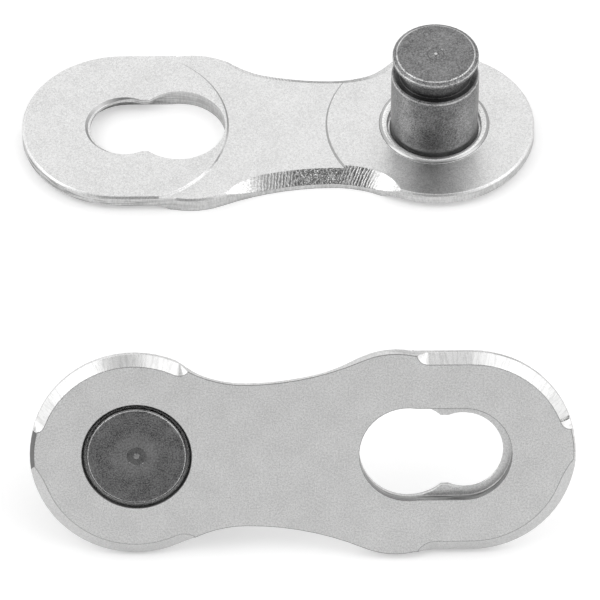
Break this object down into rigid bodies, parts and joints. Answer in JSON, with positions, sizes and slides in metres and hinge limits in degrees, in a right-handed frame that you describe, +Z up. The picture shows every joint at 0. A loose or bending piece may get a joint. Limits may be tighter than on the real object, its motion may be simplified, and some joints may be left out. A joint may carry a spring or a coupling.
{
  "type": "chain connecting link",
  "caption": "Quick-release chain connecting link, apart: waisted side plates, each with a keyhole slot and a grooved, riveted pin, laid flat and leaning on edge.",
  "frame": {"origin": "on the ground under the middle of the pair's bounding box", "axes": "+X along the halves' long axes, towards the rear half's pin, +Y from the front half to the rear half, +Z up"},
  "size_m": [0.022, 0.0268, 0.0075],
  "materials": {
    "plate": "nickel plated, fine satin",
    "pin": "dark hardened steel, turned"
  },
  "bodies": {
    "root": {"plate_rear": "plate", "pin_rear": "pin", "plate_front": "plate", "pin_front": "pin"}
  },
  "joints": []
}
